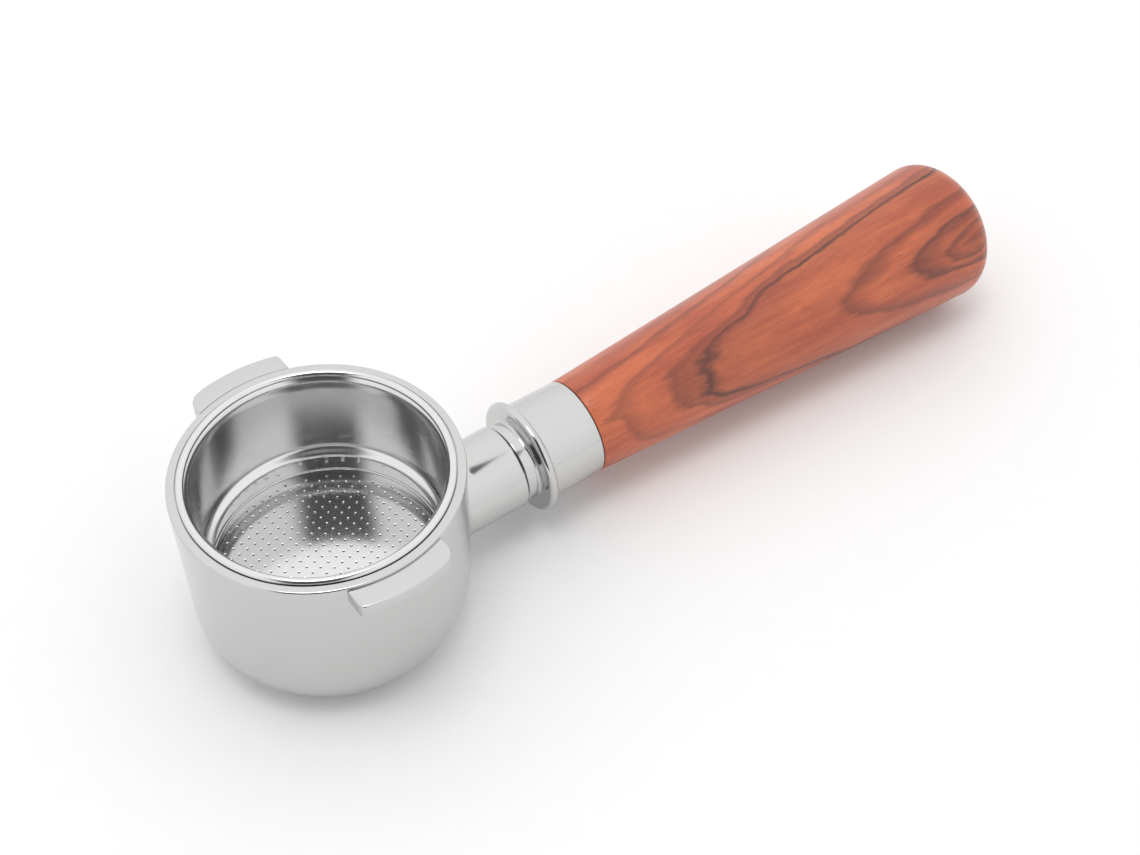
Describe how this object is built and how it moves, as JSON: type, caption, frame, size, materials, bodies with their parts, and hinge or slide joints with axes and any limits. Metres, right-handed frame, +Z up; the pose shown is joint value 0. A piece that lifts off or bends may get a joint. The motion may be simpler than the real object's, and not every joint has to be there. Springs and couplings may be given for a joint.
{
  "type": "portafilter",
  "caption": "Bottomless espresso portafilter: chromed ring with side lugs, perforated steel basket, chrome ferrule and a tapered wooden handle.",
  "frame": {"origin": "on the ring's axis, at the level of the ring's top face, where the group head's gasket seals", "axes": "+Z up along the ring's axis out of the basket's mouth, +X towards the end of the handle, which rises 1 degree above +X"},
  "size_m": [0.2059, 0.068, 0.0438],
  "materials": {
    "plated_brass": "satin chrome plate on cast brass",
    "basket_steel": "bright pressed stainless steel",
    "spring_steel": "drawn stainless wire",
    "ferrule_chrome": "polished chrome",
    "seam_rubber": "matt black",
    "rosewood": "oiled and polished reddish hardwood with dark streaks",
    "stud_steel": "zinc-plated threaded rod",
    "brass": "turned brass"
  },
  "bodies": {
    "ring": {"portafilter_body": "plated_brass", "basket_retaining_spring": "spring_steel"},
    "basket": {"filter_basket": "basket_steel"},
    "ferrule": {"handle_ferrule": "ferrule_chrome", "seam_washer": "seam_rubber"},
    "grip": {"wood_handle": "rosewood", "threaded_stud": "stud_steel", "threaded_insert": "brass"}
  },
  "joints": [
    {"name": "basket_lift", "type": "slide", "parent": "ring", "child": "basket", "axis": [0, 0, 1], "range_m": [0, 0.034]},
    {"name": "handle_advance", "type": "slide", "parent": "ring", "child": "ferrule", "axis": [0.9998, 0, 0.0175], "range_m": [0, 0.0135]},
    {"name": "handle_turn", "type": "hinge", "parent": "ferrule", "child": "grip", "pos_m": [0, 0, -0.02865], "axis": [0.9998, 0, 0.0175], "range_deg": [0, 3240]}
  ],
  "couplings": [
    {"joint": "handle_turn", "follows": "handle_advance", "rad_per_m": 4188.8}
  ]
}
